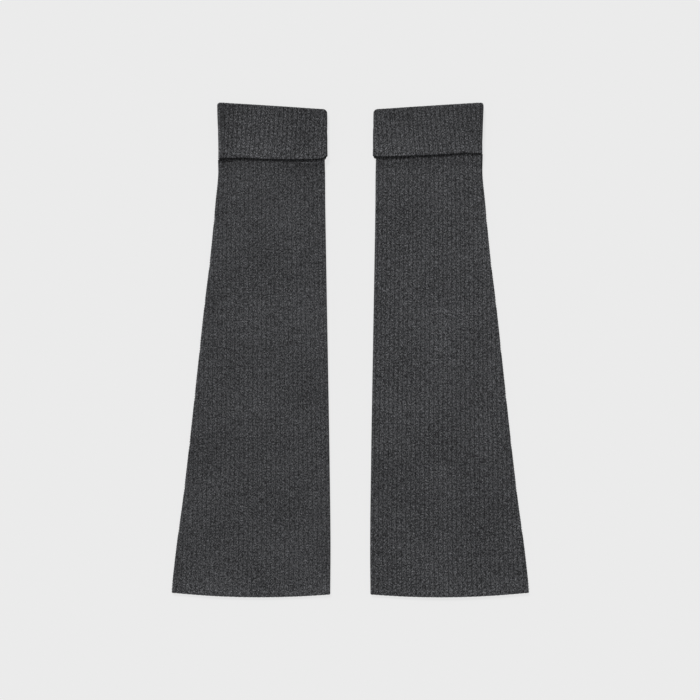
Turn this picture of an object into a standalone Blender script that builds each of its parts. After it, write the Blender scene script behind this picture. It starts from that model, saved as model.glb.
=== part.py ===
"""A pair of rib-knit leg warmers, laid flat with their tops turned down as cuffs.

Metres, +Z up. The pair lies on z = 0 with its cuffs towards +Y, and the plane x = 0 runs between
the two. Each leg warmer is a flared tube pressed flat: a front and a back panel of rib knit that
meet along both sides. The top of the tube is turned down outwards, so its cuff lies over the front
panel, round both side folds and under the back panel. Below the cuff the panels settle by one
layer, onto the surface that the pair lies on.

Places are given as `across`, the distance from the plane between the pair, and `down`, the
distance below the highest point of the turned-down tops.
"""

import math
from typing import NamedTuple

import bmesh
import bpy
import numpy as np

# Driving dimensions.
LENGTH = 0.480  # laid, from the highest point of the folded top to the lowest of the hem
CLOTH = 0.0015  # thickness of the relaxed rib knit
GAP = 0.0003  # between two pieces
LAYER = CLOTH + GAP  # from the middle of one layer of cloth to the middle of the next

SIDE_BEND = 0.0012  # from the middle of a flat panel up to the seam of its side fold
FLANGE = 0.0003  # the upright start of a side fold at its seam
ROLL = 2 * SIDE_BEND - LAYER  # how far the front panel stands up along its side folds
ROLL_REACH = 0.012  # how far in from a side fold that rise fades out

FOLD_RISE = 0.0643  # the folded top climbs outwards by this share of the way across
FOLD_PEAK = 0.122  # across, where it is highest
FOLD_CORNER = 0.003  # radius of its two corners
FOLD_DOWN = 0.006  # the height whose sections the fold joins
TURN_IN = 0.0065  # the cuff starts inside the tube, this far below the folded top

HEM_RADIUS = 0.784  # the hem is a shallow arc
HEM_MIDDLE = 0.090  # across, where the arc is lowest
HEM_CORNER = 0.0012  # radius of the hem's inner corner

SETTLE = 0.014  # the panels come down to the surface over this length below the cuff
SNUG = 0.005  # and spread to their own width over this one

BEND_STEPS = 3  # facets round a side fold
FOLD_STEPS = 6  # facets round the folded top
MIDDLE = (0.03, 0.07, 0.12, 0.30, 0.50, 0.70, 0.88, 0.93, 0.97)  # columns, as shares of the flat
UNDER_ROWS, SETTLE_ROWS, BODY_ROWS, CUFF_ROWS = 2, 5, 10, 5


class Outline(NamedTuple):
    """The outer faces of a tube's two side folds at one height."""

    down: float
    inner: float
    outer: float


class EdgePoint(NamedTuple):
    """A point of a cuff's free lower edge."""

    across: float
    down: float


LEG_OUTLINE = (
    Outline(down=0.000, inner=0.0250, outer=0.1286),
    Outline(down=0.058, inner=0.0249, outer=0.1282),
    Outline(down=0.067, inner=0.0247, outer=0.1281),
    Outline(down=0.095, inner=0.0245, outer=0.1306),
    Outline(down=0.153, inner=0.0236, outer=0.1362),
    Outline(down=0.250, inner=0.0219, outer=0.1472),
    Outline(down=0.347, inner=0.0203, outer=0.1578),
    Outline(down=0.444, inner=0.0194, outer=0.1703),
    Outline(down=0.476, inner=0.0197, outer=0.1738),
)
CUFF_OUTLINE = (
    Outline(down=0.000, inner=0.0230, outer=0.1294),
    Outline(down=0.020, inner=0.0225, outer=0.1286),
    Outline(down=0.045, inner=0.0222, outer=0.1281),
    Outline(down=0.060, inner=0.0219, outer=0.1281),
)
CUFF_EDGE = {
    "left": (
        EdgePoint(across=0.0220, down=0.0518),
        EdgePoint(across=0.0263, down=0.0536),
        EdgePoint(across=0.0367, down=0.0553),
        EdgePoint(across=0.0520, down=0.0557),
        EdgePoint(across=0.0740, down=0.0555),
        EdgePoint(across=0.0920, down=0.0538),
        EdgePoint(across=0.1285, down=0.0548),
    ),
    "right": (
        EdgePoint(across=0.0220, down=0.0518),
        EdgePoint(across=0.0260, down=0.0533),
        EdgePoint(across=0.0430, down=0.0533),
        EdgePoint(across=0.0635, down=0.0523),
        EdgePoint(across=0.0945, down=0.0498),
        EdgePoint(across=0.1100, down=0.0487),
        EdgePoint(across=0.1285, down=0.0496),
    ),
}
SIDES = {"left": -1.0, "right": 1.0}  # the side of the plane between them that each lies on
FACES = {"front": 1.0, "back": -1.0}  # the way that each panel's outer face looks

COLOURS = {  # base colour of each kind of piece, linear
    "leg_front": (0.052, 0.053, 0.056, 1.0),
    "leg_back": (0.048, 0.049, 0.052, 1.0),
    "cuff_front": (0.055, 0.056, 0.059, 1.0),
    "cuff_back": (0.050, 0.051, 0.054, 1.0),
}
ROUGHNESS = 0.95


class LegRow(NamedTuple):
    """Where one cross-section of a leg panel lies."""

    under: float  # share of the way from the cuff's edge up to the panel's top
    below: float  # distance below the cuff's edge
    to_hem: float  # share of the way from there to the hem


def ease(share):
    """A smooth step from 0 to 1, for a share of the way along."""
    share = np.clip(share, 0.0, 1.0)
    return share * share * (3.0 - 2.0 * share)


def read(rows, key, value, at):
    """A smooth curve through one column of a table, read at a place in its key column."""
    x = np.array([getattr(row, key) for row in rows])
    y = np.array([getattr(row, value) for row in rows])
    slope = np.gradient(y, x)
    i = np.clip(np.searchsorted(x, at) - 1, 0, len(x) - 2)
    step = x[i + 1] - x[i]
    t = np.clip((at - x[i]) / step, 0.0, 1.0)
    start = (1 + 2 * t) * (1 - t) ** 2 * y[i] + t * (1 - t) ** 2 * step * slope[i]
    return start + t * t * (3 - 2 * t) * y[i + 1] + t * t * (t - 1) * step * slope[i + 1]


def corner(distance, radius):
    """How far a round corner falls back at this distance from the side."""
    missing = np.clip(radius - distance, 0.0, radius)
    return radius - np.sqrt(radius**2 - missing**2)


def from_sides(across, outline, down):
    """The distance from the nearer of a tube's two side folds."""
    inner = read(outline, "down", "inner", down)
    outer = read(outline, "down", "outer", down)
    return np.clip(np.minimum(across - inner, outer - across), 0.0, None)


def slope_down(across):
    """The slope of the folded top."""
    return FOLD_RISE * np.clip(FOLD_PEAK - across, 0.0, None)


def fold_down(across):
    """The folded top's outer face: it slopes, and its two corners are round."""
    sloped = slope_down(across)
    return sloped + corner(from_sides(across, CUFF_OUTLINE, sloped), FOLD_CORNER)


def edge_down(side, across):
    """The cuff's free lower edge."""
    return read(CUFF_EDGE[side], "across", "down", across)


def hem_down(across):
    """The hem's arc, with a round inner corner."""
    arc = LENGTH - (across - HEM_MIDDLE) ** 2 / (2 * HEM_RADIUS)
    inner = read(LEG_OUTLINE, "down", "inner", arc)
    return arc - corner(np.clip(across - inner, 0.0, None), HEM_CORNER)


def section(inner, outer, lift, face):
    """The middle line of a leg panel's cloth, as (across, z) points from seam to seam.

    The back lies flat and bends up at its side folds. The front lies on it and bends down, a
    little proud of its own middle where it rolls over.
    """
    seam = lift + CLOTH / 2 + SIDE_BEND
    radius = SIDE_BEND - FLANGE
    start, end = inner + CLOTH / 2, outer - CLOTH / 2
    turns = [math.pi / 2 * i / BEND_STEPS for i in range(BEND_STEPS + 1)]
    bend = [(0.0, GAP / 2)]
    bend += [(radius - radius * math.cos(turn), FLANGE + radius * math.sin(turn)) for turn in turns]
    points = [(start + away, seam + face * rise) for away, rise in bend]
    flat = end - start - 2 * radius
    roll = ROLL if face > 0 else 0.0
    for share in MIDDLE:
        from_bend = flat * min(share, 1.0 - share)
        sunk = roll * ease(from_bend / ROLL_REACH)
        points.append((start + radius + flat * share, seam + face * SIDE_BEND - sunk))
    points += [(end - away, seam + face * rise) for away, rise in reversed(bend)]
    return np.array(points)


def moved_out(points, by, face):
    """A section's points, each moved out from the tube square to the cloth."""
    along = np.gradient(points, axis=0)
    along[0], along[-1] = (0.0, face), (0.0, -face)
    out = np.stack([-along[:, 1], along[:, 0]], axis=1) * face
    return points + by * out / np.linalg.norm(out, axis=1, keepdims=True)


def cuff_section(inside, down, face):
    """The cuff's section round a leg's: its points moved out, let out at the inner side fold."""
    points = moved_out(inside, LAYER, face)
    proud = points[0, 0] - CLOTH / 2 - read(CUFF_OUTLINE, "down", "inner", down)
    points[:, 0] -= proud * (1.0 - ease((points[:, 0] - points[0, 0]) / ROLL_REACH))
    return points


def leg_section(down_inner, down_outer, lift, snug, face):
    """A leg panel's section, drawn in under the cuff by as much as it is still snug."""
    inner = read(LEG_OUTLINE, "down", "inner", down_inner)
    free = read(LEG_OUTLINE, "down", "outer", down_outer)
    held = read(CUFF_OUTLINE, "down", "outer", down_outer) - LAYER
    return section(inner, free + snug * (held - free), lift, face)


def fold_centre(inside, outside):
    """Each point's fold centre, as its height along the leg, and the radius of its fold."""
    radius = np.linalg.norm(outside - inside, axis=1) / 2
    return fold_down(outside[:, 0]) + CLOTH / 2 + radius, radius


def top_sections(down, face):
    """The sections inside and outside the folded top at one height."""
    inside = leg_section(down, down, LAYER, 1.0, face)
    return inside, cuff_section(inside, down, face)


def leg_rows():
    """The rows of a leg panel, from inside the folded top to the hem."""
    rows = [LegRow(1.0 - i / UNDER_ROWS, 0.0, 0.0) for i in range(UNDER_ROWS + 1)]
    rows += [LegRow(0.0, SETTLE * (i + 1) / SETTLE_ROWS, 0.0) for i in range(SETTLE_ROWS)]
    rows += [LegRow(0.0, SETTLE, (i + 1) / BODY_ROWS) for i in range(BODY_ROWS)]
    return rows


def leg_down(side, row, across):
    """How far down a row of a leg panel lies, across its width."""
    edge = edge_down(side, across)
    down = edge + row.under * (slope_down(across) + TURN_IN + GAP - edge) + row.below
    return down + row.to_hem * (hem_down(across) - down)


def leg_grid(side, face):
    """The middle surface of a leg panel's cloth, as rows of (across, down, z) points."""
    grid = []
    for row in leg_rows():
        lift = LAYER * (1.0 - ease(row.below / SETTLE))
        snug = 1.0 - ease(row.below / SNUG)
        points = top_sections(FOLD_DOWN, face)[0]
        for _ in range(3):  # a side fold's place depends on its height, and that on its place
            down = leg_down(side, row, points[:, 0])
            points = leg_section(down[0], down[-1], lift, snug, face)
        grid.append(np.stack([points[:, 0], down, points[:, 1]], axis=1))
    return np.array(grid)


def cuff_grid(side, face):
    """The middle surface of a cuff's cloth: up inside the tube, over the fold and down."""
    inside, outside = top_sections(FOLD_DOWN, face)
    centre, radius = fold_centre(inside, outside)
    middle, out = (inside + outside) / 2, (outside - inside) / 2
    start = slope_down(inside[:, 0]) + TURN_IN
    grid = [np.stack([inside[:, 0], start, inside[:, 1]], axis=1)]
    for i in range(FOLD_STEPS + 1):
        turn = math.pi * i / FOLD_STEPS
        place = middle - out * math.cos(turn)
        grid.append(np.stack([place[:, 0], centre - radius * math.sin(turn), place[:, 1]], axis=1))
    for i in range(1, CUFF_ROWS + 1):
        share = i / CUFF_ROWS
        down = centre + share * (edge_down(side, outside[:, 0]) - centre)
        row = top_sections(float(down.mean()), face)[1]
        grid.append(np.stack([row[:, 0], down, row[:, 1]], axis=1))
    return np.array(grid)


def cloth(name, side, grid, collection):
    """A wall of cloth: a flat grid shaped to a middle surface, with its thickness and finish."""
    rows, columns = grid.shape[:2]
    bm = bmesh.new()
    bmesh.ops.create_grid(bm, x_segments=columns - 1, y_segments=rows - 1, size=LENGTH / 2)
    for vert, (across, down, z) in zip(bm.verts, grid.reshape(-1, 3)):
        vert.co = (SIDES[side] * across, LENGTH / 2 - down, z)
    mesh = bpy.data.meshes.new(name)
    bm.to_mesh(mesh)
    bm.free()
    mesh.shade_smooth()
    mesh.materials.append(knit(name))
    piece = bpy.data.objects.new(name, mesh)
    collection.objects.link(piece)
    wall = piece.modifiers.new("cloth", "SOLIDIFY")
    wall.thickness = CLOTH
    wall.offset = 0.0
    wall.use_even_offset = True
    return piece


def knit(name):
    """The dull charcoal rib knit of one piece."""
    material = bpy.data.materials.new(name + "_knit")
    material.use_nodes = True
    shader = material.node_tree.nodes["Principled BSDF"]
    shader.inputs["Base Color"].default_value = COLOURS[name.split("_", 1)[1]]
    shader.inputs["Roughness"].default_value = ROUGHNESS
    shader.inputs["Metallic"].default_value = 0.0
    return material


def clear_scene():
    """Empties the scene that the script starts in."""
    for piece in list(bpy.data.objects):
        bpy.data.objects.remove(piece, do_unlink=True)


def main():
    """Builds both leg warmers, each with its four pieces."""
    clear_scene()
    collection = bpy.data.collections.new("leg_warmers")
    bpy.context.scene.collection.children.link(collection)
    for side in SIDES:
        for facing, face in FACES.items():
            cloth(f"{side}_leg_{facing}", side, leg_grid(side, face), collection)
            cloth(f"{side}_cuff_{facing}", side, cuff_grid(side, face), collection)


main()
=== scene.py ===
"""Studio scene of a pair of rib-knit leg warmers, laid flat with their tops turned down as cuffs.

Each panel and cuff is a closed wall of two-by-two rib knit on the form of the part's own solid.
Its ribs are real ridges that run down the cloth, so the flared outer side cuts them off on the
slant, as it does on the cloth that the real panel is cut from. Places on a leg warmer are given
as `across`, the distance from the plane between the pair, and `down`, the distance below the
highest point of the turned-down tops. All sizes are in metres.
"""

from __future__ import annotations

import logging
import math
from dataclasses import dataclass, field
from enum import Enum

import bmesh
import bpy
import numpy as np
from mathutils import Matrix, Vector


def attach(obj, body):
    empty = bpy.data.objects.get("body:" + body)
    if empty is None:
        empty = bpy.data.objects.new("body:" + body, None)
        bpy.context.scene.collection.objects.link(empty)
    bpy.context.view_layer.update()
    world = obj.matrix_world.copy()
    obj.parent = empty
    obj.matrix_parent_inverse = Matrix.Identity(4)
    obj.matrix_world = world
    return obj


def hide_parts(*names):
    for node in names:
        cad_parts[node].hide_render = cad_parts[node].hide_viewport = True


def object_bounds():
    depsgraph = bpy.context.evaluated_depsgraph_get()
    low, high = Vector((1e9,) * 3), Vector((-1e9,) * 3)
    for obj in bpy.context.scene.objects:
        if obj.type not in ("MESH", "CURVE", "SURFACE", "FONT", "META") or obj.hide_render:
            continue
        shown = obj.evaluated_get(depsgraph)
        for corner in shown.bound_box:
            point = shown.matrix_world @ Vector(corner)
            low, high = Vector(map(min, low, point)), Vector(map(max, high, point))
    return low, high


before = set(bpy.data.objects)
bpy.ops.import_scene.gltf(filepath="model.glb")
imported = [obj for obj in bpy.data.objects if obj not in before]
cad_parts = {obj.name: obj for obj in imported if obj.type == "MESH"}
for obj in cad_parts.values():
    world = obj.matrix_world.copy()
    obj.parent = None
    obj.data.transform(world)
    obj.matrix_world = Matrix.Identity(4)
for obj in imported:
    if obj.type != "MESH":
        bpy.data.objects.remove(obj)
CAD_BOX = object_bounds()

log = logging.getLogger("leg_warmers")

Settings = dict[str, object]
Inputs = dict[str | int, object]
Colour = tuple[float, float, float]

BODY = "root"
KNIT_UV = "Knit"
TOP = CAD_BOX[1].y
SAME_PLACE = 1e-6  # points nearer than this are one
NO_LENGTH = 1e-7  # edges shorter than this are dropped


class Side(Enum):
    """The leg warmer, by the side of the pair that it lies on."""

    LEFT = -1
    RIGHT = 1


class Facing(Enum):
    """The panel of a tube, by the way that its outer face looks."""

    FRONT = 1
    BACK = -1


class Kind(Enum):
    """The kind of piece that the knit makes."""

    LEG = "leg"
    CUFF = "cuff"


class Held(Enum):
    """How a sheet of cloth is held."""

    LAID = "laid"
    FOLDED = "folded"


# ---------------------------------------------------------------------------------------------
# Shader maths
# ---------------------------------------------------------------------------------------------


class Value:
    """A number in a shader, which arithmetic adds Math nodes to."""

    def __init__(self, graph: Graph, socket: bpy.types.NodeSocket) -> None:
        """Wraps a socket.

        Args:
            graph: The graph that the socket is in.
            socket: The output socket that gives the number.
        """
        self.graph = graph
        self.socket = socket

    def maths(self, operation: str, *others: object) -> Value:
        """Adds a Math node.

        Args:
            operation: The node's operation.
            others: The numbers or values after this one.

        Returns:
            The node's result.
        """
        inputs: Inputs = {i: x for i, x in enumerate((self, *others))}
        return self.graph.node("ShaderNodeMath", {"operation": operation}, inputs)

    def __add__(self, other: object) -> Value:
        """This plus other."""
        return self.maths("ADD", other)

    __radd__ = __add__

    def __sub__(self, other: object) -> Value:
        """This less other."""
        return self.maths("SUBTRACT", other)

    def __rsub__(self, other: object) -> Value:
        """Other less this."""
        return (self * -1.0).maths("ADD", other)

    def __mul__(self, other: object) -> Value:
        """This times other."""
        return self.maths("MULTIPLY", other)

    __rmul__ = __mul__

    def __truediv__(self, other: object) -> Value:
        """This over other."""
        return self.maths("DIVIDE", other)

    def __abs__(self) -> Value:
        """The size of this, without its sign."""
        return self.maths("ABSOLUTE")

    def floor(self) -> Value:
        """The whole number at or below this."""
        return self.maths("FLOOR")

    def fraction(self) -> Value:
        """What is left of this above its whole number."""
        return self.maths("FRACT")

    def wave(self) -> Value:
        """A cosine that is 1 at every whole number and -1 halfway between."""
        return (self * math.tau).maths("COSINE")

    def ease(self, start: float, end: float) -> Value:
        """A smooth step.

        Args:
            start: Where the step is 0.
            end: Where it is 1.

        Returns:
            The step at this value.
        """
        settings: Settings = {"interpolation_type": "SMOOTHSTEP"}
        inputs: Inputs = {"Value": self, "From Min": start, "From Max": end}
        return self.graph.node("ShaderNodeMapRange", settings, inputs)


class Graph:
    """A material's nodes, round its Principled BSDF."""

    def __init__(self, name: str) -> None:
        """Makes a new material.

        Args:
            name: The material's name.
        """
        self.material = bpy.data.materials.new(name)
        self.material.use_nodes = True
        self.tree = self.material.node_tree
        self.surface = self.tree.nodes["Principled BSDF"]

    def node(self, kind: str, settings: Settings, inputs: Inputs, output: str | int = 0) -> Value:
        """Adds a node.

        Args:
            kind: The node's type.
            settings: Its properties, which are set first.
            inputs: The value or link of each of its sockets, by name or number.
            output: The socket that is wanted from it.

        Returns:
            That socket, wrapped.
        """
        made = self.tree.nodes.new(kind)
        for name, setting in settings.items():
            setattr(made, name, setting)
        for key, given in inputs.items():
            self.feed(made.inputs[key], given)
        return Value(self, made.outputs[output])

    def feed(self, socket: bpy.types.NodeSocket, given: object) -> None:
        """Links a socket to a value, or sets it to a plain number, vector or colour.

        Args:
            socket: The input socket.
            given: What it takes.
        """
        if isinstance(given, Value):
            self.tree.links.new(given.socket, socket)
        else:
            socket.default_value = given

    def finish(self, inputs: Inputs) -> bpy.types.Material:
        """Feeds the Principled BSDF.

        Args:
            inputs: The value or link of each of its sockets.

        Returns:
            The material.
        """
        for key, given in inputs.items():
            self.feed(self.surface.inputs[key], given)
        return self.material

    def knit_place(self) -> tuple[Value, Value]:
        """The place on the cloth.

        Returns:
            The ribs across it and the courses down it.
        """
        place = self.node("ShaderNodeUVMap", {"uv_map": KNIT_UV}, {})
        split: Inputs = {"Vector": place}
        return (
            self.node("ShaderNodeSeparateXYZ", {}, split, "X"),
            self.node("ShaderNodeSeparateXYZ", {}, split, "Y"),
        )

    def vector(self, x: object, y: object, z: object = 0.0) -> Value:
        """A vector from three numbers or values."""
        return self.node("ShaderNodeCombineXYZ", {}, {"X": x, "Y": y, "Z": z})

    def fleck(self, column: Value, row: Value) -> Value:
        """A random number from -0.5 to 0.5 for each whole column and row."""
        inputs: Inputs = {"Vector": self.vector(column, row)}
        return self.node("ShaderNodeTexWhiteNoise", {"noise_dimensions": "2D"}, inputs) - 0.5

    def cloud(self, x: Value, y: Value, detail: float) -> Value:
        """Soft random noise.

        Args:
            x: The place across, where 1 is the size of one soft spot.
            y: The place down.
            detail: How many finer layers are added.

        Returns:
            The noise, from about -1 to 1.
        """
        inputs: Inputs = {"Vector": self.vector(x, y), "Scale": 1.0, "Detail": detail}
        noise = self.node("ShaderNodeTexNoise", {"noise_dimensions": "2D"}, inputs)
        return noise * 2.0 - 1.0

    def tint(self, colour: Colour, share: Value) -> Value:
        """A colour, made lighter or darker.

        Args:
            colour: The colour at a share of 1.
            share: How much of it there is.

        Returns:
            The scaled colour.
        """
        inputs: Inputs = {"Vector": colour, "Scale": share}
        return self.node("ShaderNodeVectorMath", {"operation": "SCALE"}, inputs)

    def bump(self, height: Value, strength: float, distance: float) -> Value:
        """A normal that is tipped by a height over the surface.

        Args:
            height: The height, from 0 to 1.
            strength: How much of it shows.
            distance: How deep 1 is, in metres.

        Returns:
            The normal.
        """
        inputs: Inputs = {"Height": height, "Strength": strength, "Distance": distance}
        return self.node("ShaderNodeBump", {}, inputs, "Normal")


# ---------------------------------------------------------------------------------------------
# Finishes
# ---------------------------------------------------------------------------------------------


@dataclass(frozen=True)
class PaintedLightAndTone:
    """How light the cloth is down its length, against the yarn's own tone: painted shade and painted
    light, with some tone that varies along it.
    """

    stops: tuple[tuple[float, float], ...]  # courses, in order, and the painted light or shade with the tone at each

    def along(self, course: Value) -> Value | float:
        """The painted light and shade, with the tone, at each course.

        Args:
            course: The place down the cloth, in courses.

        Returns:
            The painted light and shade with the tone there, where 1 is the yarn's own.
        """
        tone: Value | float = self.stops[0][1]
        for (start, before), (end, after) in zip(self.stops, self.stops[1:]):
            tone = course.ease(start, end) * (after - before) + tone
        return tone


@dataclass(frozen=True)
class Cloth:
    """How one stretch of the pair's knit looks beside the others."""

    # painted light and shade down the cloth, with tone that varies along it
    painted_light_and_tone: PaintedLightAndTone
    groove_shade: float  # painted shade: how much darker a groove is than a ridge
    contrast: float = 1.0  # of the marl's light and dark yarns


@dataclass(frozen=True)
class Mottle:
    """One size of soft, random light and dark in the marl."""

    across: float  # spots to a rib
    down: float  # spots to a course
    reach: float  # as a share of the tone that the eye sees
    detail: float = 1.0  # finer layers in it

    def over(self, graph: Graph, rib: Value, course: Value) -> Value:
        """The light and dark at each place.

        Args:
            graph: The material's graph.
            rib: The place across the cloth, in ribs.
            course: The place down the cloth, in courses.

        Returns:
            How far the tone is from the yarn's own.
        """
        return graph.cloud(rib * self.across, course * self.down, self.detail) * self.reach


@dataclass(frozen=True)
class MarlRibKnit:
    """Charcoal marl yarn in a two-by-two rib: two wales of stitches to a ridge, then a groove."""

    name: str
    cloth: Cloth
    colour: Colour = (0.0603, 0.0612, 0.0648)
    ridge_top: float = 0.30  # of a rib's width, from the middle of its ridge to where it falls
    ridge_foot: float = 0.40  # and to where the groove starts
    wale_half: float = 0.18  # of a rib's width, from the middle of a wale to its side
    stitch_slant: float = 0.55  # how many courses a stitch's leg climbs from its root
    stitch_swell: float = 0.30  # how far a stitch's height falls and rises along it
    purl_swell: float = 0.12  # and how far a purl bump's does
    purl_level: float = 0.15  # height of a purl bump, where a stitch's is 1
    stitch_marl: float = 0.98  # from stitch to stitch, as a share of the tone that the eye sees
    twist: float = 0.72  # how far a light stitch is followed by a dark one, as the plies turn
    legs_apart: float = 7.0  # columns of random stitches from one rib to the next
    fibres: Mottle = Mottle(6.0, 1.5, 0.62)
    streaks: Mottle = Mottle(5.0, 0.18, 0.42, detail=0.0)
    blotches: Mottle = Mottle(1.6, 0.45, 0.05)
    wales: Mottle = Mottle(2.0, 0.05, 0.13)
    clouds: Mottle = Mottle(0.4, 0.10, 0.07)
    drift: Mottle = Mottle(0.10, 0.025, 0.10, detail=0.0)
    darkest: float = 0.3  # that the eye sees any yarn
    hollow_shade: float = 0.22  # painted shade: how much darker the lowest yarn is than the highest
    bump_depth: float = 0.00035
    bump_strength: float = 0.8
    roughness: float = 0.95
    gloss: float = 0.2
    sheen: float = 0.06
    sheen_roughness: float = 0.6
    sheen_tint: tuple[float, ...] = (0.75, 0.76, 0.80, 1.0)

    def material(self) -> bpy.types.Material:
        """Makes the knit's material.

        Returns:
            The material.
        """
        graph = Graph(self.name)
        rib, course = graph.knit_place()
        from_ridge = abs(rib.fraction() - 0.5)
        ridge = 1.0 - from_ridge.ease(self.ridge_top, self.ridge_foot)
        from_wale = abs(from_ridge - self.wale_half) / self.wale_half
        climbed = course - from_wale * self.stitch_slant
        height = self.stitch_height(ridge, from_wale, climbed, course)
        # painted shade in the grooves and on the lowest yarn, and painted light and shade down the
        # cloth
        grooves = (1.0 - ridge) * self.cloth.groove_shade
        shade = 1.0 - grooves - (1.0 - height) * self.hollow_shade
        lit = self.marl(graph, rib, course, climbed) * shade * self.cloth.painted_light_and_tone.along(course)
        return graph.finish(
            {
                "Base Color": graph.tint(self.colour, lit),
                "Roughness": self.roughness,
                "Specular IOR Level": self.gloss,
                "Sheen Weight": self.sheen,
                "Sheen Roughness": self.sheen_roughness,
                "Sheen Tint": self.sheen_tint,
                "Normal": graph.bump(height, self.bump_strength, self.bump_depth),
            }
        )

    def stitch_height(self, ridge: Value, from_wale: Value, climbed: Value, course: Value) -> Value:
        """The height of the stitches' legs on the ridges and of the purl bumps in the grooves.

        Args:
            ridge: 1 on a ridge and 0 in a groove.
            from_wale: How far out from the middle of its wale a place is, from 0 to 1.
            climbed: The course, slanted along the stitches' legs.
            course: The course.

        Returns:
            The height, from 0 to 1.
        """
        across_leg = from_wale * 2.0 - 1.0
        leg = 1.0 - across_leg * across_leg
        knit = leg * (climbed.wave() * self.stitch_swell + (1.0 - self.stitch_swell))
        purl = course.wave() * self.purl_swell + self.purl_level
        return ridge * knit + (1.0 - ridge) * purl

    def marl(self, graph: Graph, rib: Value, course: Value, climbed: Value) -> Value:
        """How light the mixed yarn is at each place, round 1.

        Args:
            graph: The material's graph.
            rib: The place across the cloth, in ribs.
            course: The place down the cloth, in courses.
            climbed: The course, slanted along the stitches' legs.

        Returns:
            The share of the yarn's own colour.
        """
        in_rib = ((rib.fraction() - 0.5) / self.wale_half).floor()
        legs = in_rib + rib.floor() * self.legs_apart
        stitch, next_stitch = (graph.fleck(legs, climbed.floor() + below) for below in (0.0, 1.0))
        tone = (stitch - next_stitch * self.twist) * self.stitch_marl
        tone = tone + self.fibres.over(graph, rib, climbed)
        for mottle in (self.streaks, self.blotches, self.wales, self.clouds, self.drift):
            tone = tone + mottle.over(graph, rib, course)
        seen = (tone * self.cloth.contrast + 1.0).maths("MAXIMUM", self.darkest)
        return seen * seen


@dataclass(frozen=True)
class OverlockThread:
    """Dull dark spun thread, with its ply as a fine twist along it."""

    name: str
    colour: Colour = (0.052, 0.052, 0.055)
    ply_turns: float = 900.0  # a metre
    ply_shade: float = 0.5  # painted shade: how much darker it is between its plies
    bump_depth: float = 0.0001
    bump_strength: float = 0.4
    roughness: float = 0.8
    gloss: float = 0.3

    def material(self) -> bpy.types.Material:
        """Makes the thread's material.

        Returns:
            The material.
        """
        graph = Graph(self.name)
        place = graph.node("ShaderNodeTexCoord", {}, {}, "Object")
        split: Inputs = {"Vector": place}
        along = graph.node("ShaderNodeSeparateXYZ", {}, split, "Y")
        aside = graph.node("ShaderNodeSeparateXYZ", {}, split, "X")
        twist = ((along + aside) * self.ply_turns).wave() * 0.5 + 0.5
        # painted shade between the plies
        shade = twist * self.ply_shade + (1.0 - self.ply_shade / 2)
        return graph.finish(
            {
                "Base Color": graph.tint(self.colour, shade),
                "Roughness": self.roughness,
                "Specular IOR Level": self.gloss,
                "Normal": graph.bump(twist, self.bump_strength, self.bump_depth),
            }
        )


@dataclass(frozen=True)
class PaleSweep:
    """The plain pale matt ground of the studio, lit evenly from below as well as from above."""

    name: str = "pale_sweep"
    colour: Colour = (0.10, 0.10, 0.10)
    glow: float = 0.740  # of the light from below
    grain_scale: float = 40.0  # grains to a metre
    grain_shade: float = 0.01  # how much darker a grain is

    def material(self) -> bpy.types.Material:
        """Makes the ground's material.

        Returns:
            The material.
        """
        graph = Graph(self.name)
        place = graph.node("ShaderNodeTexCoord", {}, {}, "Object")
        grain = graph.node("ShaderNodeTexNoise", {}, {"Vector": place, "Scale": self.grain_scale})
        shade = grain * self.grain_shade + (1.0 - self.grain_shade / 2)
        return graph.finish(
            {
                "Base Color": graph.tint(self.colour, shade),
                "Roughness": 1.0,
                "Specular IOR Level": 0.0,
                "Emission Color": (1.0, 1.0, 1.0, 1.0),
                "Emission Strength": self.glow,
            }
        )


# ---------------------------------------------------------------------------------------------
# The form of one leg warmer
# ---------------------------------------------------------------------------------------------


def ease(share: np.ndarray | float) -> np.ndarray:
    """A smooth step from 0 to 1, for a share of the way along."""
    share = np.clip(share, 0.0, 1.0)
    return share * share * (3.0 - 2.0 * share)


def corner(distance: np.ndarray, radius: float) -> np.ndarray:
    """How far a round corner falls back.

    Args:
        distance: The distance from the side.
        radius: The corner's radius.

    Returns:
        How far it falls back at that distance.
    """
    missing = np.clip(radius - distance, 0.0, radius)
    return radius - np.sqrt(radius**2 - missing**2)


def joined(points: np.ndarray, down: np.ndarray | float) -> np.ndarray:
    """Each (across, z) point or direction with its part down, as (across, down, z)."""
    return np.stack([points[:, 0], np.broadcast_to(down, len(points)), points[:, 1]], axis=1)


def laid(places: np.ndarray, side: Side) -> np.ndarray:
    """Places on a leg warmer, given as (across, down, z), in the scene's own x, y and z."""
    return places * (side.value, -1.0, 1.0) + (0.0, TOP, 0.0)


@dataclass(frozen=True)
class Curve:
    """A smooth line through a few points, each a place and a value."""

    points: tuple[tuple[float, float], ...]

    def at(self, place: np.ndarray | float) -> np.ndarray:
        """The line's value at a place.

        Args:
            place: The place, or several.

        Returns:
            The value at each, which past the line's ends is that at its end.
        """
        x, y = np.array(self.points).T
        slope = np.gradient(y, x)
        i = np.clip(np.searchsorted(x, place) - 1, 0, len(x) - 2)
        step = x[i + 1] - x[i]
        t = np.clip((place - x[i]) / step, 0.0, 1.0)
        start = (1 + 2 * t) * (1 - t) ** 2 * y[i] + t * (1 - t) ** 2 * step * slope[i]
        return start + t * t * (3 - 2 * t) * y[i + 1] + t * t * (t - 1) * step * slope[i + 1]


@dataclass(frozen=True)
class Swell:
    """A slow wave over the cloth, which is never quite even."""

    across: float  # radians for each metre or rib across
    down: float = 0.0  # radians for each metre down
    start: float = 0.0  # radians
    height: float = 1.0

    def at(self, across: np.ndarray, down: np.ndarray | float, turned: float = 1.0) -> np.ndarray:
        """The wave's height, with its start turned for the left or right leg warmer."""
        return self.height * np.sin(across * self.across + down * self.down + self.start * turned)


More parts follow.
